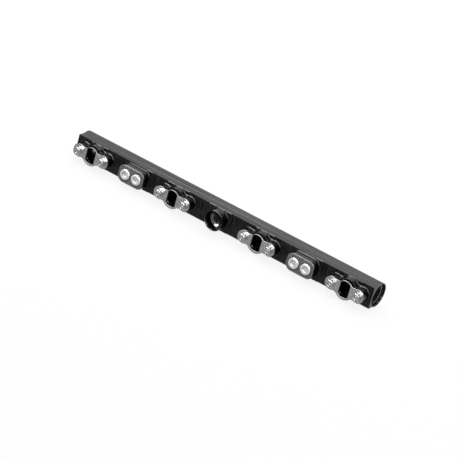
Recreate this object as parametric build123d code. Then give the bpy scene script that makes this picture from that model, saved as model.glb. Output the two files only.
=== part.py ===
from build123d import *
import os
from math import hypot, sqrt, tan, radians

os.makedirs("parts", exist_ok=True)

# Fuel rail for a four-cylinder engine, in millimetres.
# Origin: middle of the flat front face, where the axis of the centre port crosses it.
# +X runs along the rail, -Y is the side that faces the injectors, +Z is up.

# ---- spacing along the rail ----
INJECTOR_COUNT = 4
INJECTOR_PITCH = 90.0          # cylinder spacing of the engine
MOUNT_OFFSET = 90.0            # from the middle of the rail to each mounting block
END_OVERHANG = 22.0            # from the last injector's axis to the end of the rail

# ---- rail body ----
GALLERY_BORE = 13.5            # diameter of the long fuel gallery
FLANGE_HEIGHT = 19.5           # height of the flat front flange
BACK_BULGE = 1.15              # the round back stands this far above the flange
GALLERY_SETBACK = 12.0         # from the flat front face back to the gallery axis
WAIST_FILLET = 1.2             # hollow where the flange meets the round back
EDGE_BREAK = 0.5               # 45 degree break on the long front edges

# ---- threaded end ports, straight thread with an O-ring seat ----
# The holes are cut at the outer diameter of the thread, whose turns aren't modelled.
END_PORT_THREAD = 19.05        # 3/4-16
END_PORT_THREAD_DEPTH = 17.0
END_PORT_SEAT_WIDEN = 1.25     # the seat's mouth is this much wider than the thread
END_PORT_SEAT_DEPTH = 2.4

# ---- centre port, same kind, one size smaller ----
PORT_BOSS_RADIUS = 9.3
PORT_BOSS_HEIGHT = 8.6
PORT_THREAD = 14.29            # 9/16-18
PORT_THREAD_DEPTH = 12.0
PORT_DRILL = 6.5               # from the drill point of the thread into the gallery
PORT_SEAT_WIDEN = 1.5
PORT_SEAT_DEPTH = 2.4
PORT_LEAD_WIDEN = 1.4          # shallow lead-in ring outside the seat
PORT_LEAD_DEPTH = 0.8
PORT_EDGE_BREAK = 0.4

# ---- injector seats ----
SEAT_BOSS_HEIGHT = 6.2
SEAT_BARREL_RADIUS = 9.2       # round middle of the boss and of its plate's lower half
SEAT_EAR_RADIUS = 6.1          # round ends, one around each plate screw
EAR_SPACING = 26.4             # between the two plate screws of a seat
EAR_BLEND = 4.5                # hollow corner between barrel and ear
INJECTOR_BORE = 14.0           # sealing bore for the top O-ring of an injector
INJECTOR_BORE_DEPTH = 10.4
SEAT_LEAD_IN = 1.0             # lead-in cone, so that the O-ring isn't cut: its width
SEAT_LEAD_DEPTH = 1.4          # and its depth
FEED_HOLE = 7.0                # drilled from the bottom of the seat into the gallery

# ---- retaining plates over the injector seats ----
PLATE_THICKNESS = 2.4
PLATE_EDGE_BREAK = 0.25
OPENING_HEIGHT = 14.3          # round ends of the double-D opening
OPENING_WIDTH = 9.3            # between its two flats
PLATE_SHOULDER = 5.4           # straight upper edge, above the line between the two screws
PLATE_RIM = 0.9                # narrow rim that arches over the opening, above the shoulder
RIM_BLEND = 1.2                # hollow corner between rim and shoulder
EAR_SHOULDER_BLEND = 5.0       # hollow corner between ear and shoulder

# ---- mounting blocks ----
PAD_HEIGHT = 2.4               # pad that is part of the body
BLOCK_THICKNESS = 6.0
BLOCK_LENGTH = 27.6
BLOCK_HEIGHT = 16.3
BLOCK_CORNER = 6.2
BLOCK_SCREW_SPACING = 12.0
BLOCK_EDGE_BREAK = 0.5
COUNTERBORE_DEPTH = 2.4

BASE_FILLET = 1.6              # hollow around the foot of every boss and pad

# ---- screws: thread size, head and hexagon socket ----
PLATE_SCREW = dict(thread=4.0, head=7.0, head_height=4.0, hex=3.0, hex_depth=2.2, length=11.0)
BLOCK_SCREW = dict(thread=6.0, head=10.0, head_height=4.0, hex=5.0, hex_depth=2.4, length=10.0)
HEAD_EDGE_BREAK = 0.4
POINT_CHAMFER = 0.6
THREAD_GAP = 0.05              # between a screw's shank and its hole, all round
CLEARANCE_GAP = 0.25           # round a shank where it passes through a plate or block
HEAD_GAP = 0.5                 # round a head in its counterbore
TAP_RUNOUT = 0.8               # hole beyond the point of its screw

DRILL_POINT_ANGLE = 59         # half the angle of a drill's point, in degrees
MATCH = 0.01                   # how closely a corner's place is matched when it is picked

HALF_FLANGE = FLANGE_HEIGHT / 2
BACK_RADIUS = HALF_FLANGE + BACK_BULGE
HALF_LENGTH = (INJECTOR_COUNT - 1) * INJECTOR_PITCH / 2 + END_OVERHANG
INJECTOR_STATIONS = [
    (i - (INJECTOR_COUNT - 1) / 2) * INJECTOR_PITCH for i in range(INJECTOR_COUNT)
]
MOUNT_STATIONS = (-MOUNT_OFFSET, MOUNT_OFFSET)
EARS = (-EAR_SPACING / 2, EAR_SPACING / 2)
BLOCK_SCREWS = (-BLOCK_SCREW_SPACING / 2, BLOCK_SCREW_SPACING / 2)


def front_plane(height, x=0.0):
    """Plane at `height` above the front face; its normal points out of the rail."""
    return Plane(origin=(x, -height, 0), x_dir=(1, 0, 0), z_dir=(0, -1, 0))


def seat_outline():
    """Outline shared by an injector boss and its plate: a barrel with two ears."""
    shape = Circle(SEAT_BARREL_RADIUS) + [Pos(x, 0) * Circle(SEAT_EAR_RADIUS) for x in EARS]
    corners = [v for v in shape.vertices() if abs(v.Y) > MATCH
               and abs(hypot(v.X, v.Y) - SEAT_BARREL_RADIUS) < MATCH
               and abs(hypot(abs(v.X) - EAR_SPACING / 2, v.Y) - SEAT_EAR_RADIUS) < MATCH]
    return fillet(corners, EAR_BLEND)


def plate_outline():
    """The boss's outline, with its upper half cut down to a shoulder and a rim over the opening."""
    rim_radius = OPENING_HEIGHT / 2 + PLATE_RIM
    lower = Pos(0, -SEAT_BARREL_RADIUS) * Rectangle(
        EAR_SPACING + 2 * SEAT_EAR_RADIUS, 2 * SEAT_BARREL_RADIUS)
    shoulder = Pos(0, PLATE_SHOULDER / 2) * Rectangle(EAR_SPACING, PLATE_SHOULDER)
    shape = (seat_outline() & lower) + shoulder + Circle(rim_radius) + [
        Pos(x, 0) * Circle(SEAT_EAR_RADIUS) for x in EARS]
    rim_end = sqrt(rim_radius**2 - PLATE_SHOULDER**2)
    ear_end = EAR_SPACING / 2 - sqrt(SEAT_EAR_RADIUS**2 - PLATE_SHOULDER**2)
    for end, radius in ((rim_end, RIM_BLEND), (ear_end, EAR_SHOULDER_BLEND)):
        corners = [v for v in shape.vertices() if abs(v.Y - PLATE_SHOULDER) < MATCH
                   and abs(abs(v.X) - end) < MATCH]
        shape = fillet(corners, radius)
    return shape


def block_outline():
    """Outline shared by a mounting block and the pad under it."""
    return RectangleRounded(BLOCK_LENGTH, BLOCK_HEIGHT, BLOCK_CORNER)


def raised(outline, height, x):
    """A boss with this outline, standing on the front face at station `x`."""
    return extrude(front_plane(0, x) * outline, amount=height)


def with_base_fillet(boss):
    """The boss with a hollow foot, trimmed flush with the top and bottom of the flange."""
    box = boss.bounding_box()
    margin = 3 * BASE_FILLET
    slab = Pos((box.min.X + box.max.X) / 2, margin / 2, 0) * Box(
        box.size.X + 2 * margin, margin, box.size.Z + 2 * margin)
    body = slab + boss
    foot = [e for e in body.edges() if abs(e.bounding_box().min.Y) < MATCH
            and abs(e.bounding_box().max.Y) < MATCH
            and e.bounding_box().size.X < box.size.X + MATCH
            and e.bounding_box().size.Z < box.size.Z + MATCH]
    body = fillet(foot, BASE_FILLET)
    reach = box.size.Y + margin
    keep = Pos((box.min.X + box.max.X) / 2, -reach / 2, 0) * Box(
        box.size.X + 2 * margin, reach, FLANGE_HEIGHT)
    return body & keep


def drilled(x, start, depth, diameter):
    """A round hole bored into the front, from `start` above the front face."""
    return extrude(front_plane(start, x) * Circle(diameter / 2), amount=-depth)


def cone_cut(plane, mouth, throat, depth):
    """A conical cut, `mouth` wide at the plane and `throat` wide at `depth`."""
    return loft([plane * Circle(mouth / 2), plane.offset(-depth) * Circle(throat / 2)])


def drill_point(plane, wide, narrow):
    """The cone that a drill leaves where a wide hole ends on a narrower one."""
    return cone_cut(plane, wide, narrow, (wide - narrow) / 2 / tan(radians(DRILL_POINT_ANGLE)))


def rail_body():
    section = Plane.YZ * (
        Pos(GALLERY_SETBACK, 0) * Circle(BACK_RADIUS)
        + Pos(GALLERY_SETBACK / 2, 0) * Rectangle(GALLERY_SETBACK, FLANGE_HEIGHT)
    )
    waist_y = GALLERY_SETBACK - sqrt(BACK_RADIUS**2 - HALF_FLANGE**2)
    waist = [v for v in section.vertices() if abs(v.Y - waist_y) < MATCH]
    section = fillet(waist, WAIST_FILLET)
    body = extrude(section, amount=HALF_LENGTH, both=True)

    # long front edges, broken between the bosses that run out over them
    half_seat = SEAT_BARREL_RADIUS + BASE_FILLET
    half_port = PORT_BOSS_RADIUS + BASE_FILLET
    half_block = BLOCK_LENGTH / 2 + BASE_FILLET
    stops = sorted([(x, half_seat) for x in INJECTOR_STATIONS]
                   + [(x, half_block) for x in MOUNT_STATIONS] + [(0.0, half_port)])
    starts = [-HALF_LENGTH] + [x + half for x, half in stops]
    ends = [x - half for x, half in stops] + [HALF_LENGTH]
    for side in (-1, 1):
        corner = Plane.YZ * Polygon(
            (0, side * HALF_FLANGE), (EDGE_BREAK, side * HALF_FLANGE),
            (0, side * (HALF_FLANGE - EDGE_BREAK)), align=None)
        for start, end in zip(starts, ends):
            body -= Pos(start, 0, 0) * extrude(corner, amount=end - start)

    # bosses
    for x in INJECTOR_STATIONS:
        body += with_base_fillet(raised(seat_outline(), SEAT_BOSS_HEIGHT, x))
    for x in MOUNT_STATIONS:
        body += with_base_fillet(raised(block_outline(), PAD_HEIGHT, x))
    port_boss = raised(Circle(PORT_BOSS_RADIUS), PORT_BOSS_HEIGHT, 0.0)
    port_boss = chamfer(port_boss.faces().sort_by(Axis.Y)[0].edges(), PORT_EDGE_BREAK)
    body += with_base_fillet(port_boss)

    # fuel gallery and the ports at its two ends
    gallery = Plane.YZ * Pos(GALLERY_SETBACK, 0) * Circle(GALLERY_BORE / 2)
    body -= extrude(gallery, amount=HALF_LENGTH, both=True)
    for side in (-1, 1):
        end = Plane(origin=(side * HALF_LENGTH, GALLERY_SETBACK, 0), x_dir=(0, 1, 0),
                    z_dir=(side, 0, 0))
        body -= extrude(end * Circle(END_PORT_THREAD / 2), amount=-END_PORT_THREAD_DEPTH)
        body -= cone_cut(end, END_PORT_THREAD + END_PORT_SEAT_WIDEN, END_PORT_THREAD,
                         END_PORT_SEAT_DEPTH)
        body -= drill_point(end.offset(-END_PORT_THREAD_DEPTH), END_PORT_THREAD, GALLERY_BORE)

    # centre port
    seat_mouth = PORT_THREAD + PORT_SEAT_WIDEN
    body -= drilled(0, PORT_BOSS_HEIGHT, PORT_THREAD_DEPTH, PORT_THREAD)
    body -= drilled(0, PORT_BOSS_HEIGHT, PORT_BOSS_HEIGHT + GALLERY_SETBACK, PORT_DRILL)
    body -= drill_point(front_plane(PORT_BOSS_HEIGHT - PORT_THREAD_DEPTH), PORT_THREAD,
                        PORT_DRILL)
    body -= cone_cut(front_plane(PORT_BOSS_HEIGHT), seat_mouth + PORT_LEAD_WIDEN,
                     seat_mouth, PORT_LEAD_DEPTH)
    body -= cone_cut(front_plane(PORT_BOSS_HEIGHT - PORT_LEAD_DEPTH), seat_mouth,
                     PORT_THREAD, PORT_SEAT_DEPTH)

    # injector seats, with the tapped holes of their plate screws
    seat_mouth = INJECTOR_BORE + 2 * SEAT_LEAD_IN
    tapped = PLATE_SCREW["thread"] + 2 * THREAD_GAP
    tapped_depth = PLATE_SCREW["length"] - PLATE_THICKNESS + TAP_RUNOUT
    for x in INJECTOR_STATIONS:
        body -= drilled(x, SEAT_BOSS_HEIGHT, INJECTOR_BORE_DEPTH, INJECTOR_BORE)
        body -= cone_cut(front_plane(SEAT_BOSS_HEIGHT, x), seat_mouth, INJECTOR_BORE,
                         SEAT_LEAD_DEPTH)
        body -= drilled(x, 0, GALLERY_SETBACK, FEED_HOLE)
        for ear in EARS:
            body -= drilled(x + ear, SEAT_BOSS_HEIGHT, tapped_depth, tapped)

    # tapped holes of the block screws
    tapped = BLOCK_SCREW["thread"] + 2 * THREAD_GAP
    web = BLOCK_THICKNESS - COUNTERBORE_DEPTH
    tapped_depth = BLOCK_SCREW["length"] - web + TAP_RUNOUT
    for x in MOUNT_STATIONS:
        for screw in BLOCK_SCREWS:
            body -= drilled(x + screw, PAD_HEIGHT, tapped_depth, tapped)
    return body


def retaining_plate(x):
    opening = Circle(OPENING_HEIGHT / 2) & Rectangle(OPENING_WIDTH, OPENING_HEIGHT)
    blank = extrude(front_plane(SEAT_BOSS_HEIGHT, x) * plate_outline(), amount=PLATE_THICKNESS)
    top = SEAT_BOSS_HEIGHT + PLATE_THICKNESS
    blank -= extrude(front_plane(top, x) * opening, amount=-PLATE_THICKNESS)
    blank = chamfer(blank.faces().sort_by(Axis.Y)[0].edges(), PLATE_EDGE_BREAK)
    for ear in EARS:
        blank -= drilled(x + ear, top, PLATE_THICKNESS, PLATE_SCREW["thread"] + 2 * CLEARANCE_GAP)
    return blank


def mounting_block(x):
    top = PAD_HEIGHT + BLOCK_THICKNESS
    block = extrude(front_plane(PAD_HEIGHT, x) * block_outline(), amount=BLOCK_THICKNESS)
    block = chamfer(block.faces().sort_by(Axis.Y)[0].edges(), BLOCK_EDGE_BREAK)
    for screw in BLOCK_SCREWS:
        block -= drilled(x + screw, top, BLOCK_THICKNESS,
                         BLOCK_SCREW["thread"] + 2 * CLEARANCE_GAP)
        block -= drilled(x + screw, top, COUNTERBORE_DEPTH, BLOCK_SCREW["head"] + 2 * HEAD_GAP)
    return block


def cap_screw(size, x, seat):
    """Socket head screw whose head bears on a face `seat` above the front face."""
    head = extrude(front_plane(seat, x) * Circle(size["head"] / 2), amount=size["head_height"])
    head = chamfer(head.faces().sort_by(Axis.Y)[0].edges(), HEAD_EDGE_BREAK)
    shank = drilled(x, seat, size["length"], size["thread"])
    shank = chamfer(shank.faces().sort_by(Axis.Y)[-1].edges(), POINT_CHAMFER)
    socket = RegularPolygon(size["hex"] / 2, 6, major_radius=False)
    top = front_plane(seat + size["head_height"], x)
    return head + shank - extrude(top * socket, amount=-size["hex_depth"])


pieces = {"rail_body": rail_body()}

for number, station in enumerate(INJECTOR_STATIONS, 1):
    pieces[f"retaining_plate_{number}"] = retaining_plate(station)
    for side, ear in zip(("left", "right"), EARS):
        pieces[f"plate_screw_{number}_{side}"] = cap_screw(
            PLATE_SCREW, station + ear, SEAT_BOSS_HEIGHT + PLATE_THICKNESS)

for number, station in enumerate(MOUNT_STATIONS, 1):
    pieces[f"mounting_block_{number}"] = mounting_block(station)
    for side, screw in zip(("left", "right"), BLOCK_SCREWS):
        pieces[f"block_screw_{number}_{side}"] = cap_screw(
            BLOCK_SCREW, station + screw, PAD_HEIGHT + BLOCK_THICKNESS - COUNTERBORE_DEPTH)

for name, piece in pieces.items():
    piece.label = name
    export_step(piece, f"parts/{name}.step")
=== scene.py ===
from math import cos, pi, radians, sin

import bmesh
import bpy
from mathutils import Matrix, Vector


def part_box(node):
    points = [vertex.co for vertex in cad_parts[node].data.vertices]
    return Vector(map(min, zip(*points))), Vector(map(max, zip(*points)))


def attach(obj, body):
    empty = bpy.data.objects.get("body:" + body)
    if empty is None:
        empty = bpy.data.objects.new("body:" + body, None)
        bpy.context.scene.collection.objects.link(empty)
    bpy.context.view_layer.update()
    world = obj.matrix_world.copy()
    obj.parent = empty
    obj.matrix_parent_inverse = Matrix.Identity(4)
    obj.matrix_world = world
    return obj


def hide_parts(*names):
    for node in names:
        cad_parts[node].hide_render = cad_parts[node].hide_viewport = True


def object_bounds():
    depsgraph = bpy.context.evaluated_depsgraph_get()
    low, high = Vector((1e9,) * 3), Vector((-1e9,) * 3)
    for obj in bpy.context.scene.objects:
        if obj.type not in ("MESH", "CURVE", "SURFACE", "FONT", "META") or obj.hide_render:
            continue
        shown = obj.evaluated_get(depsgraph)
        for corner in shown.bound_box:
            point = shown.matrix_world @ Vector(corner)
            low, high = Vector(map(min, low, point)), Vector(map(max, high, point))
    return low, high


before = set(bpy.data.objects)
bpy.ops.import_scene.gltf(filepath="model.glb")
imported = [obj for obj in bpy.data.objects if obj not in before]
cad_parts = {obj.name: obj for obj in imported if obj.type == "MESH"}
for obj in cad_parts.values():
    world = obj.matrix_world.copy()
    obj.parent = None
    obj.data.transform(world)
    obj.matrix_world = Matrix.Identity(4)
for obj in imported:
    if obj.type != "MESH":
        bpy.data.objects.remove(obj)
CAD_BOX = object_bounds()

MM = 0.001
X, Y, Z = 0, 1, 2             # along the rail, from front to back, and up

# ---- the rail's own sizes that the thread turns follow, in millimetres ----
GALLERY_SETBACK = 12.0        # from the flat front face back to the gallery axis
PORT_FACE = 8.6               # face of the centre port, out from the front face
PORT_THREAD_START = 6.0       # lead-in ring, O-ring seat and plain run together
PORT_THREAD_DEPTH = 12.0      # of the centre port's threaded hole, from its face
PORT_RUN_OUT = 1.0            # plain hole left past the last turn
END_SEAT_DEPTH = 2.4          # the O-ring seat outside an end port's first turn
END_THREAD_DEPTH = 17.0       # of an end port's threaded hole, from the end face
END_RUN_OUT = 2.0

# ---- threads: root diameter in millimetres, and turns to the inch ----
CENTRE_THREAD = dict(size=14.29, turns_per_inch=18)
END_THREAD = dict(size=19.05, turns_per_inch=16)
INCH = 25.4
THREAD_HEIGHT = 0.54          # of the pitch, for a sixty degree thread
THREAD_BEDDING = 0.06         # mm that a turn's foot lies inside the wall, so no gap shows
RIDGE_FOOT = (0.03, 0.97)     # of the pitch, where a turn's foot starts and ends
RIDGE_CREST = (0.44, 0.56)    # of the pitch, where its flat crest starts and ends
STEPS_PER_TURN = 48           # flats that a turn is made of

# ---- socket head cap screws, in millimetres ----
PLATE_SCREW = dict(head=7.0, head_height=4.0, hex=3.0, hex_depth=2.2, thread=4.0,
                   length=11.0, knurls=36, rim=0.45)
BLOCK_SCREW = dict(head=10.0, head_height=4.0, hex=5.0, hex_depth=2.4, thread=6.0,
                   length=10.0, knurls=45, rim=1.1)
HEX_SIDES = 6
HALF_CORNER = 30              # degrees from the middle of a hexagon's side to its corner
EDGES_PER_KNURL = 2
MOUTH_WIDEN = 1.12            # of the hexagon's corners, out to the round edge of its mouth
MOUTH_DROP = 0.22             # how deep the broken edge of the socket goes
CONE_DEPTH = 0.5              # drilled cone at the bottom of the socket
CONE_POINT = 0.25             # of the hexagon, the blunt end of that cone
RIM_STEPS = (0, 30, 60, 90)   # degrees round the rounded rim of the head
PLAIN_BAND = 0.15             # smooth band between the rim and the knurls
KNURL_ROOT = 0.985            # of the head, the bottom of the knurls
PLAIN_FOOT = 0.35             # smooth foot under the knurls
FOOT_TAPER = 0.4              # of that foot, the part that tapers
TAPER_WIDTH = 0.96            # of the knurls, where the taper ends
FOOT_WIDTH = 0.94             # of the head, the round edge that bears on the part below
TIP_BREAK = 0.6               # bevel at the end of the shank

# ---- edges flatter than this, in degrees, shade as one curve ----
SOLID_SMOOTH, SCREW_SMOOTH, THREAD_SMOOTH = 25, 35, 40
MERGE_DISTANCE = 0.0005       # mm, joins the loose triangles of a solid


# ---------------------------------------------------------------- materials
def linear(code):
    """Linear colour of an sRGB hex value."""
    parts = [int(code[i:i + 2], 16) / 255 for i in (0, 2, 4)]
    return [p / 12.92 if p <= 0.04045 else ((p + 0.055) / 1.055) ** 2.4 for p in parts] + [1]


def add(tree, kind, links=(), values=(), **settings):
    """Adds a node with its settings, its input values and its incoming links."""
    node = tree.nodes.new("ShaderNode" + kind)
    for key, value in settings.items():
        setattr(node, key, value)
    for socket, value in dict(values).items():
        node.inputs[socket].default_value = value
    for socket, source in dict(links).items():
        tree.links.new(source, node.inputs[socket])
    return node


def new_material(name, values):
    """An empty material with these values on its shader's own sockets, and its node tree."""
    material = bpy.data.materials.new(name)
    material.use_nodes = True
    for socket, value in values.items():
        material.node_tree.nodes["Principled BSDF"].inputs[socket].default_value = value
    return material, material.node_tree


def feed_shader(tree, sources):
    """Links each named socket of the shader to the pattern that drives it."""
    for socket, source in sources.items():
        tree.links.new(source, tree.nodes["Principled BSDF"].inputs[socket])


# a noise pattern's values lie nearly all between these, here turned into a share from 0 to 1
NOISE_SPAN = {"From Min": 0.3, "From Max": 0.7}
AS_SHARE = NOISE_SPAN | {"To Min": 0.0, "To Max": 1.0}


def cutter_marks(tree, along, step, length, seed=0.0):
    """Grain of fine parallel marks along one axis: `step` mm apart and `length` mm long. The
    seed moves them, so that two finishes don't share their marks."""
    place = add(tree, "TexCoord").outputs["Object"]
    scale = [1 / (step * MM)] * 3
    scale[along] = 1 / (length * MM)
    stretched = add(tree, "Mapping", {"Vector": place},
                    {"Scale": scale, "Location": (seed, seed * 2, seed * 3)})
    return add(tree, "TexNoise", {"Vector": stretched.outputs["Vector"]},
               {"Scale": 1.0, "Detail": 0.6, "Roughness": 0.5}).outputs["Fac"]


def facing_towards(tree, direction, least):
    """1 where the surface looks this way, up to an angle whose cosine is `least`; else 0."""
    facing = add(tree, "VectorMath", {0: add(tree, "NewGeometry").outputs["Normal"]},
                 {1: direction}, operation="DOT_PRODUCT")
    return add(tree, "Math", {0: facing.outputs["Value"]}, {1: least},
               operation="GREATER_THAN").outputs[0]


TOWARDS_INJECTORS, FRONT_AND_UP = (0, -1, 0), (0, -0.8, 0.6)
FLAT_FACES, WITH_EDGES = 0.9, 0.5     # cosines, without and with the broken edges round them

BOSS_EDGE = 0.5         # mm ahead of the flat front where the bar's marks give way to a boss's
BOSS_MARKS = 0.12       # depth of the marks on bosses and blocks, beside the bar's own
BOSS_GLOSS = 0.6        # roughness of bosses and blocks, beside the bar's own
END_MARKS = 0.08        # depth of the marks on faces square to the rail, beside the bar's own
TURN_TO_END = {"From Min": 0.5, "From Max": 0.9}     # of the normal, from a side to an end face
SATIN_SPREAD = 0.08     # how far the grain moves the roughness, either way
OXIDE_IOR = 1.4         # of the dyed skin; clear oxide has about 1.6 and would shine more


def anodised_aluminium(name, skin, face, rough, marks, relief, front_faces):
    """Machined aluminium, anodised and dyed. The oxide skin is glassy and nearly black, so the
    eye gets satin reflections drawn out into streaks by the cutter's marks; where the long
    marks' light tone is pale, as on the bar, it paints part of that sheen into the colour,
    beside the real grain. Faces turned to the front have their own pair of tones and short
    upright marks, and all the rest has long marks along the rail. A real cutter's marks are
    about 0.2 mm apart, which is too fine to show, so they are drawn four to eight times
    coarser."""
    material, tree = new_material(name, {"IOR": OXIDE_IOR})
    front = facing_towards(tree, *front_faces)
    grain = add(tree, "Mix", {"Factor": front, "A": cutter_marks(tree, X, **marks["long"]),
                              "B": cutter_marks(tree, Z, **marks["upright"])}).outputs["Result"]
    spread = add(tree, "MapRange", {"Value": grain}, AS_SHARE).outputs["Result"]

    # the bar's deep marks give way to shallow ones on bosses, blocks and end faces
    place = add(tree, "SeparateXYZ", {"Vector": add(tree, "TexCoord").outputs["Object"]})
    from_boss_to_bar = {"From Min": -BOSS_EDGE * MM, "From Max": 0.0}
    on_bar = add(tree, "MapRange", {"Value": place.outputs["Y"]},
                 from_boss_to_bar | {"To Min": BOSS_MARKS, "To Max": 1.0})
    normal = add(tree, "SeparateXYZ", {"Vector": add(tree, "NewGeometry").outputs["Normal"]})
    endways = add(tree, "Math", {0: normal.outputs["X"]}, operation="ABSOLUTE")
    on_side = add(tree, "MapRange", {"Value": endways.outputs[0]},
                  TURN_TO_END | {"To Min": 1.0, "To Max": END_MARKS})
    depth = add(tree, "Math", {0: on_bar.outputs["Result"], 1: on_side.outputs["Result"]},
                operation="MULTIPLY").outputs[0]

    # tone of the long marks: cutter grain, whose pale tops on the bar's top and back also paint
    # part of its satin sheen
    streak = add(tree, "Math", {0: spread, 1: depth}, operation="MULTIPLY").outputs[0]
    tones = [add(tree, "Mix", {"Factor": share}, {"A": linear(dark), "B": linear(light)},
                 data_type="RGBA").outputs["Result"]
             for share, (dark, light) in ((streak, skin), (spread, face))]
    colour = add(tree, "Mix", {"Factor": front, "A": tones[0], "B": tones[1]}, data_type="RGBA")

    satin = add(tree, "MapRange", {"Value": grain},
                NOISE_SPAN | {"To Min": rough - SATIN_SPREAD, "To Max": rough + SATIN_SPREAD})
    gloss = add(tree, "MapRange", {"Value": place.outputs["Y"]},
                from_boss_to_bar | {"To Min": BOSS_GLOSS, "To Max": 1.0})
    roughness = add(tree, "Math", {0: satin.outputs["Result"], 1: gloss.outputs["Result"]},
                    operation="MULTIPLY")
    height = add(tree, "Math", {0: depth}, {1: relief * MM}, operation="MULTIPLY")
    bump = add(tree, "Bump", {"Height": grain, "Distance": height.outputs[0]},
               {"Strength": 1.0})
    feed_shader(tree, {"Base Color": colour.outputs["Result"],
                       "Roughness": roughness.outputs[0],
                       "Normal": bump.outputs["Normal"]})
    return material


FINE_RELIEF = 0.006     # mm, depth of grinding and tapping marks


def ground_aluminium(name):
    """Plate whose face was ground bright. The eye gets brushed silver in front; the walls are
    painted black, as painted shade where they mirror the dark rail, and the broken edges a
    duller grey, painted shade that keeps their highlight thin. Grinding marks are about 0.1 mm
    apart and are drawn eight times coarser."""
    material, tree = new_material(name, {})
    bare = facing_towards(tree, TOWARDS_INJECTORS, WITH_EDGES)
    flat = facing_towards(tree, TOWARDS_INJECTORS, FLAT_FACES)
    grain = cutter_marks(tree, X, step=0.8, length=8.0, seed=3.1)
    spread = add(tree, "MapRange", {"Value": grain}, AS_SHARE)
    silver = add(tree, "Mix", {"Factor": spread.outputs["Result"]},
                 {"A": linear("c0c0c1"), "B": linear("e2e2e3")}, data_type="RGBA")
    # broken edges: a duller grey, painted shade that holds down their highlight
    with_edge = add(tree, "Mix", {"Factor": flat, "B": silver.outputs["Result"]},
                    {"A": linear("545455")}, data_type="RGBA")
    # walls: black, painted shade where they mirror the dark rail and bosses
    colour = add(tree, "Mix", {"Factor": bare, "B": with_edge.outputs["Result"]},
                 {"A": linear("050506")}, data_type="RGBA")
    gloss = add(tree, "MapRange", {"Value": grain},
                NOISE_SPAN | {"To Min": 0.14, "To Max": 0.24})
    bump = add(tree, "Bump", {"Height": grain},
               {"Strength": 1.0, "Distance": FINE_RELIEF * MM})
    feed_shader(tree, {"Base Color": colour.outputs["Result"], "Metallic": bare,
                       "Roughness": gloss.outputs["Result"], "Normal": bump.outputs["Normal"]})
    return material


def tapped_aluminium(name):
    """Thread tapped through the black skin after anodising. The eye gets dull grey bare metal
    that glints on each turn. The tap's marks are drawn some six times coarser than real."""
    material, tree = new_material(name, {"Metallic": 1.0})
    grain = cutter_marks(tree, Y, step=0.6, length=3.0, seed=5.2)
    spread = add(tree, "MapRange", {"Value": grain}, AS_SHARE)
    colour = add(tree, "Mix", {"Factor": spread.outputs["Result"]},
                 {"A": linear("6c6c6e"), "B": linear("8c8c8e")}, data_type="RGBA")
    gloss = add(tree, "MapRange", {"Value": grain},
                NOISE_SPAN | {"To Min": 0.12, "To Max": 0.2})
    bump = add(tree, "Bump", {"Height": grain},
               {"Strength": 1.0, "Distance": FINE_RELIEF * MM})
    feed_shader(tree, {"Base Color": colour.outputs["Result"],
                       "Roughness": gloss.outputs["Result"], "Normal": bump.outputs["Normal"]})
    return material


TUMBLED_GRAIN = 1.2     # mm across one cloud of the tumbled surface
TUMBLED_RELIEF = 0.003  # mm


def headed_steel(name, rough, metallic, tones):
    """Steel screw, cold headed and tumbled. The eye gets a bright, slightly clouded gloss; the
    socket's walls are painted a darker grey, as painted shade in the recess. The clouds have
    their real size."""
    material, tree = new_material(name, {"Metallic": metallic})
    place = add(tree, "TexCoord").outputs["Object"]
    cloud = add(tree, "TexNoise", {"Vector": place},
                {"Scale": 1 / (TUMBLED_GRAIN * MM), "Detail": 4.0}).outputs["Fac"]
    spread = add(tree, "MapRange", {"Value": cloud}, AS_SHARE)
    bright = add(tree, "Mix", {"Factor": spread.outputs["Result"]},
                 {"A": linear(tones[0]), "B": linear(tones[1])}, data_type="RGBA")
    # the socket's walls are painted darker: painted shade in the recess
    socket = add(tree, "Attribute", attribute_name="shaded_socket_wall")
    colour = add(tree, "Mix", {"Factor": socket.outputs["Fac"], "A": bright.outputs["Result"]},
                 {"B": linear("a4a4a6")}, data_type="RGBA")
    gloss = add(tree, "MapRange", {"Value": cloud},
                NOISE_SPAN | {"To Min": rough - 0.05, "To Max": rough + 0.07})
    bump = add(tree, "Bump", {"Height": cloud},
               {"Strength": 1.0, "Distance": TUMBLED_RELIEF * MM})
    feed_shader(tree, {"Base Color": colour.outputs["Result"],
                       "Roughness": gloss.outputs["Result"], "Normal": bump.outputs["Normal"]})
    return material


# pairs of tones, from the bottom of the marks to their tops
# the pale tops of the streaked pair paint part of the bar's satin sheen into its colour
BLACK, STREAKS_AND_SHEEN, GREY = ("010102", "101012"), ("000001", "242427"), ("3c3c3e", "4c4c4e")

# the bar: deep streaks from end to end on its top and back, whose pale tone is partly cutter
# grain and partly painted sheen; quiet black in front
BODY_FINISH = anodised_aluminium(
    "black_anodised_machined_aluminium", skin=STREAKS_AND_SHEEN, face=BLACK, rough=0.24,
    marks={"long": dict(step=1.6, length=220.0), "upright": dict(step=1.2, length=12.0)},
    relief=1.0, front_faces=(TOWARDS_INJECTORS, FLAT_FACES))
# the mounting blocks: paler and duller in front and along their upper edge, black behind
BLOCK_FINISH = anodised_aluminium(
    "grey_anodised_machined_aluminium", skin=BLACK, face=GREY, rough=0.33,
    marks={"long": dict(step=1.4, length=30.0), "upright": dict(step=0.9, length=9.0)},
    relief=0.8, front_faces=(FRONT_AND_UP, 0.7))
PLATE_FINISH = ground_aluminium("ground_aluminium_painted_shade_walls")
# stainless steel is a plain mirror-like metal; zinc plating is whiter and veils it a little
PLATE_SCREW_FINISH = headed_steel("cold_headed_stainless_steel", rough=0.2, metallic=1.0,
                                  tones=("c0c0c0", "e0e0e0"))
BLOCK_SCREW_FINISH = headed_steel("cold_headed_zinc_plated_steel", rough=0.26, metallic=0.8,
                                  tones=("d8d8d8", "f0f0f0"))
THREAD_FINISH = tapped_aluminium("tapped_aluminium")


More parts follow.
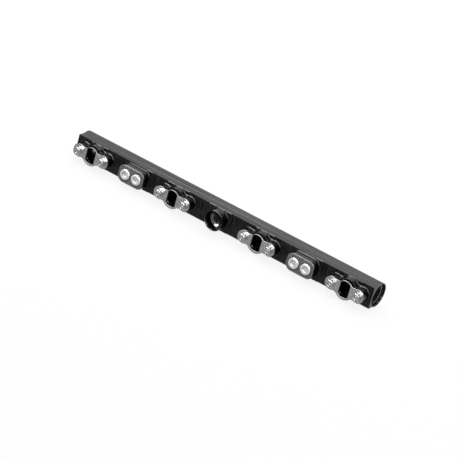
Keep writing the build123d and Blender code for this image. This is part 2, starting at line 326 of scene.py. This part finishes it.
# ---------------------------------------------------------------- pieces
def as_piece(bm, name, finish, smooth_below):
    """Turns the bmesh into a piece that rides on the rail."""
    bm.normal_update()
    for face in bm.faces:
        face.smooth = True
    for edge in bm.edges:
        edge.smooth = edge.calc_face_angle(pi) < radians(smooth_below)
    mesh = bpy.data.meshes.new(name)
    bm.to_mesh(mesh)
    bm.free()
    piece = bpy.data.objects.new(name, mesh)
    bpy.context.scene.collection.objects.link(piece)
    piece.data.materials.append(finish)
    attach(piece, "root")
    return piece


def verts_of(edges):
    return list({vert for edge in edges for vert in edge.verts})


def edges_in(geometry):
    return [part for part in geometry if isinstance(part, bmesh.types.BMEdge)]


def grow(bm, loop, scale=1.0, rise=0.0):
    """Extrudes an edge loop round the Z axis, scales it about that axis and lifts it."""
    new = edges_in(bmesh.ops.extrude_edge_only(bm, edges=loop)["geom"])
    bmesh.ops.scale(bm, verts=verts_of(new), vec=(scale, scale, 1))
    bmesh.ops.translate(bm, verts=verts_of(new), vec=(0, 0, rise))
    return new


def circle_loop(bm, segments, radius):
    """Edges of a circle round the Z axis."""
    verts = bmesh.ops.create_circle(bm, segments=segments, radius=radius)["verts"]
    return list({edge for vert in verts for edge in vert.link_edges})


def cap_screw(node, size, finish):
    """Knurled socket head cap screw with a rounded rim, in place of its plain solid. It is
    made upright in millimetres, with the top of its head at zero, and then put in its place."""
    segments = size["knurls"] * EDGES_PER_KNURL
    head, rim, shank = size["head"] / 2, size["rim"], size["thread"] / 2
    flat = head - rim
    bm = bmesh.new()
    shaded_socket_wall = bm.faces.layers.float.new("shaded_socket_wall")

    # hexagon socket: broken edge at its mouth, straight walls, drilled cone at the bottom
    corner = size["hex"] / 2 / cos(radians(HALF_CORNER))
    sides = circle_loop(bm, HEX_SIDES, corner)
    cut = bmesh.ops.subdivide_edges(bm, edges=sides, cuts=segments // HEX_SIDES - 1)
    hexagon = edges_in(cut["geom_split"])
    mouth = circle_loop(bm, segments, corner * MOUTH_WIDEN)
    bmesh.ops.translate(bm, verts=verts_of(hexagon), vec=(0, 0, -MOUTH_DROP))
    bmesh.ops.bridge_loops(bm, edges=hexagon + mouth)
    broken_edge = set(bm.faces)
    loop = grow(bm, hexagon, 1.0, -size["hex_depth"] + MOUTH_DROP + CONE_DEPTH)
    walls = [face for face in bm.faces if face not in broken_edge]
    loop = grow(bm, loop, CONE_POINT, -CONE_DEPTH)
    bmesh.ops.contextual_create(bm, geom=loop)

    # head: flat top, rounded rim, plain band, knurled side, plain foot
    loop = grow(bm, mouth, flat / (corner * MOUTH_WIDEN), 0)
    radius = flat
    for before, after in zip(RIM_STEPS, RIM_STEPS[1:]):
        wider = flat + rim * sin(radians(after))
        drop = rim * (cos(radians(before)) - cos(radians(after)))
        loop = grow(bm, loop, wider / radius, -drop)
        radius = wider
    knurl_top = grow(bm, loop, 1.0, -PLAIN_BAND)
    knurl_foot = grow(bm, knurl_top, 1.0,
                      -(size["head_height"] - rim - PLAIN_BAND - PLAIN_FOOT))
    for ring in (knurl_top, knurl_foot):
        in_turn = sorted(verts_of(ring), key=lambda vert: vert.co.xy.angle_signed((1, 0)))
        bmesh.ops.scale(bm, verts=in_turn[::EDGES_PER_KNURL], vec=(KNURL_ROOT, KNURL_ROOT, 1))
    loop = grow(bm, knurl_foot, TAPER_WIDTH, -PLAIN_FOOT * FOOT_TAPER)
    loop = grow(bm, loop, 1.0, -PLAIN_FOOT * (1 - FOOT_TAPER))
    for vert in verts_of(loop):
        vert.co.xy = vert.co.xy.normalized() * head * FOOT_WIDTH

    # shank with a bevelled tip
    loop = grow(bm, loop, shank / (head * FOOT_WIDTH), 0)
    loop = grow(bm, loop, 1.0, -size["length"] + TIP_BREAK)
    loop = grow(bm, loop, (shank - TIP_BREAK) / shank, -TIP_BREAK)
    bmesh.ops.contextual_create(bm, geom=loop)
    # the socket's walls are marked for the finish's painted shade
    for face in walls:
        face[shaded_socket_wall] = 1.0

    low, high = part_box(node)
    place = ((low.x + high.x) / 2, low.y, (low.z + high.z) / 2)
    bmesh.ops.rotate(bm, verts=bm.verts, cent=(0, 0, 0), matrix=Matrix.Rotation(pi / 2, 3, "X"))
    bmesh.ops.scale(bm, verts=bm.verts, vec=(MM, MM, MM))
    bmesh.ops.translate(bm, verts=bm.verts, vec=place)
    bmesh.ops.recalc_face_normals(bm, faces=bm.faces)
    piece = as_piece(bm, node + "_knurled", finish, SCREW_SMOOTH)
    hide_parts(node)


def thread_turns(name, thread, mouth, outward, length):
    """Turns of an internal thread: a V ridge wound inside the hole, from its mouth inwards.
    The hole opens at `mouth` and looks `outward`; the length is in millimetres."""
    pitch = INCH / thread["turns_per_inch"]
    root = thread["size"] / 2 + THREAD_BEDDING
    crest = thread["size"] / 2 - THREAD_HEIGHT * pitch
    turns = length / pitch
    ridge = ((root, RIDGE_FOOT[0]), (crest, RIDGE_CREST[0]),
             (crest, RIDGE_CREST[1]), (root, RIDGE_FOOT[1]))
    bm = bmesh.new()
    face = bm.faces.new([bm.verts.new((radius, 0, -part * pitch)) for radius, part in ridge])
    bmesh.ops.spin(bm, geom=[face] + list(face.verts) + list(face.edges), cent=(0, 0, 0),
                   axis=(0, 0, 1), dvec=(0, 0, -pitch / STEPS_PER_TURN), angle=2 * pi * turns,
                   steps=round(STEPS_PER_TURN * turns))
    bmesh.ops.scale(bm, verts=bm.verts, vec=(MM, MM, MM))
    turn = Vector((0, 0, 1)).rotation_difference(outward).to_matrix()
    bmesh.ops.rotate(bm, verts=bm.verts, cent=(0, 0, 0), matrix=turn)
    bmesh.ops.translate(bm, verts=bm.verts, vec=mouth)
    bmesh.ops.recalc_face_normals(bm, faces=bm.faces)
    as_piece(bm, name, THREAD_FINISH, THREAD_SMOOTH)


def smooth_copy(node, finish):
    """The same shape with its loose triangles joined, so that its curves shade as curves."""
    bm = bmesh.new()
    bm.from_mesh(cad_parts[node].data)
    bmesh.ops.remove_doubles(bm, verts=bm.verts, dist=MERGE_DISTANCE * MM)
    piece = as_piece(bm, node + "_finished", finish, SOLID_SMOOTH)
    old_normals = piece.data.attributes.get("custom_normal")
    if old_normals:
        piece.data.attributes.remove(old_normals)
    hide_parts(node)


smooth_copy("rail_body", BODY_FINISH)
for node in sorted(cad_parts):
    if node.startswith("retaining_plate"):
        smooth_copy(node, PLATE_FINISH)
    elif node.startswith("mounting_block"):
        smooth_copy(node, BLOCK_FINISH)
    elif node.startswith("plate_screw"):
        cap_screw(node, PLATE_SCREW, PLATE_SCREW_FINISH)
    elif node.startswith("block_screw"):
        cap_screw(node, BLOCK_SCREW, BLOCK_SCREW_FINISH)

rail_low, rail_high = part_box("rail_body")
for side, x, outward in (("left", rail_low.x, Vector((-1, 0, 0))),
                         ("right", rail_high.x, Vector((1, 0, 0)))):
    thread_turns("end_port_thread_" + side, END_THREAD,
                 Vector((x, GALLERY_SETBACK * MM, 0)) - outward * END_SEAT_DEPTH * MM,
                 outward, END_THREAD_DEPTH - END_SEAT_DEPTH - END_RUN_OUT)
thread_turns("centre_port_thread", CENTRE_THREAD,
             Vector((0, -(PORT_FACE - PORT_THREAD_START) * MM, 0)), Vector(TOWARDS_INJECTORS),
             PORT_THREAD_DEPTH - PORT_THREAD_START - PORT_RUN_OUT)


# ---------------------------------------------------------------- camera
VIEW_AZIMUTH, VIEW_ELEVATION, VIEW_ROLL = 27.80, 23.98, 15.69   # degrees
VIEW_DISTANCE = 1815.1                                          # mm, far off with a long lens
VIEW_CENTRE = Vector((4.0, 17.8, -13.55)) * MM                  # middle of the picture
LENS, SENSOR = 164.94, 36.0
NEAREST, FARTHEST = 0.05, 50                                    # metres that the camera sees


def look(azimuth, elevation):
    """Unit vector from the object towards a viewer at this azimuth and elevation."""
    a, e = radians(azimuth), radians(elevation)
    return Vector((sin(a) * cos(e), -cos(a) * cos(e), sin(e)))


def make_camera():
    data = bpy.data.cameras.new("camera")
    data.lens, data.sensor_width = LENS, SENSOR
    data.clip_start, data.clip_end = NEAREST, FARTHEST
    camera = bpy.data.objects.new("camera", data)
    bpy.context.scene.collection.objects.link(camera)
    back = look(VIEW_AZIMUTH, VIEW_ELEVATION)
    right = Vector((0, 0, 1)).cross(back).normalized()
    up = back.cross(right)
    roll = radians(VIEW_ROLL)
    axes = (right * cos(roll) + up * sin(roll), up * cos(roll) - right * sin(roll), back)
    turn = Matrix(axes).transposed().to_4x4()
    camera.matrix_world = Matrix.Translation(VIEW_CENTRE + back * VIEW_DISTANCE * MM) @ turn
    bpy.context.scene.camera = camera


make_camera()


# ---------------------------------------------------------------- stage and lights
FLOOR_HALF_WIDTH = 6.0                   # metres
FLOOR_GAP = 0.2                          # mm under the rail, so that the two don't touch
FLOOR_TONE, FLOOR_GLOW = "7c7c7c", 0.87  # mostly its own glow, so that the shadows stay soft
WHITE = linear("ffffff")


def make_floor():
    """Wide pale matt table under the rail, which the metal doesn't mirror."""
    bm = bmesh.new()
    bmesh.ops.create_grid(bm, x_segments=2, y_segments=2, size=FLOOR_HALF_WIDTH)
    bmesh.ops.translate(bm, verts=bm.verts, vec=(0, 0, CAD_BOX[0].z - FLOOR_GAP * MM))
    mesh = bpy.data.meshes.new("floor")
    bm.to_mesh(mesh)
    bm.free()
    floor = bpy.data.objects.new("floor", mesh)
    bpy.context.scene.collection.objects.link(floor)
    floor.visible_glossy = False
    material, tree = new_material("pale_matt_table", {
        "Base Color": linear(FLOOR_TONE), "Roughness": 0.9, "Specular IOR Level": 0.0,
        "Emission Color": WHITE, "Emission Strength": FLOOR_GLOW})
    floor.data.materials.append(material)
    return floor


ROOM_GREY = 0.38
# the axis that each white part is measured on, from where it starts to where it is full
ROOM_BEHIND = ("Y", {"From Min": -0.1, "From Max": 0.5})
ROOM_BELOW = ("Z", {"From Min": -0.05, "From Max": -0.25})
ROOM_ABOVE = ("Z", {"From Min": 0.1, "From Max": 0.3})
ROOM_LEFT = ("X", {"From Min": 0.05, "From Max": -0.3})


def make_room():
    """Room that the metal mirrors: white table and white left corner behind, grey elsewhere."""
    world = bpy.data.worlds.new("studio")
    world.use_nodes = True
    bpy.context.scene.world = world
    tree = world.node_tree
    direction = add(tree, "SeparateXYZ", {"Vector": add(tree, "TexCoord").outputs["Generated"]})
    behind, below, above, left = [
        add(tree, "MapRange", {"Value": direction.outputs[axis]}, span).outputs["Result"]
        for axis, span in (ROOM_BEHIND, ROOM_BELOW, ROOM_ABOVE, ROOM_LEFT)]
    corner = add(tree, "Math", {0: above, 1: left}, operation="MULTIPLY")
    all_round = add(tree, "Math", {0: below, 1: corner.outputs[0]}, operation="MAXIMUM")
    white = add(tree, "Math", {0: all_round.outputs[0], 1: behind}, operation="MULTIPLY")
    level = add(tree, "MapRange", {"Value": white.outputs[0]},
                {"To Min": ROOM_GREY, "To Max": 1.0})
    tree.nodes["Background"].inputs["Color"].default_value = WHITE
    tree.links.new(level.outputs["Result"], tree.nodes["Background"].inputs["Strength"])


def kept_out(name, things):
    """Collection of the objects that a light doesn't fall on."""
    collection = bpy.data.collections.new(name)
    for thing in things:
        collection.objects.link(thing)
    for member in collection.collection_objects:
        member.light_linking.link_state = "EXCLUDE"
    return collection


def soft_box(name, azimuth, elevation, distance, width, height, radiance, dark):
    """Rectangular studio light that faces the middle of the rail and misses what is dark."""
    data = bpy.data.lights.new(name, "AREA")
    data.shape = "RECTANGLE"
    data.size, data.size_y = width, height
    data.energy = radiance * pi * width * height
    light = bpy.data.objects.new(name, data)
    bpy.context.scene.collection.objects.link(light)
    towards = look(azimuth, elevation)
    light.matrix_world = (Matrix.Translation(towards * distance)
                          @ towards.to_track_quat("Z", "Y").to_matrix().to_4x4())
    if dark:
        light.light_linking.receiver_collection = dark


floor = make_floor()
without_floor = kept_out("kept_out_of_the_front_lights", [floor])
without_body = kept_out("kept_out_of_the_right_light",
                        [floor, bpy.data.objects["rail_body_finished"]])
make_room()

# name: azimuth and elevation in degrees, distance, width and height in metres, radiance, and
# the collection that stays dark
SOFT_BOXES = {
    # rims and knurls of the screws, edges of plates and blocks
    "front_right": (44, 38, 1.6, 0.5, 0.9, 7, without_body),
    # right feet of the bosses; kept weak, because it flares along the bar seen from behind
    "body_right": (66, 36, 1.6, 0.5, 1.0, 5, without_floor),
    # upper feet of the bosses
    "front_top": (-46, 56, 1.5, 1.2, 1.0, 10, without_floor),
    # long low strip that joins the two along the feet
    "front_bank": (14, 50, 1.5, 1.8, 0.45, 7, without_floor),
    # grey sheen along the bar's top, and the shadow in front
    "back_top": (200, 58, 1.6, 1.4, 1.0, 1.7, None),
}
for name, lamp in SOFT_BOXES.items():
    soft_box(name, *lamp)

scene = bpy.context.scene
scene.view_settings.view_transform = "Standard"
scene.view_settings.look = "None"
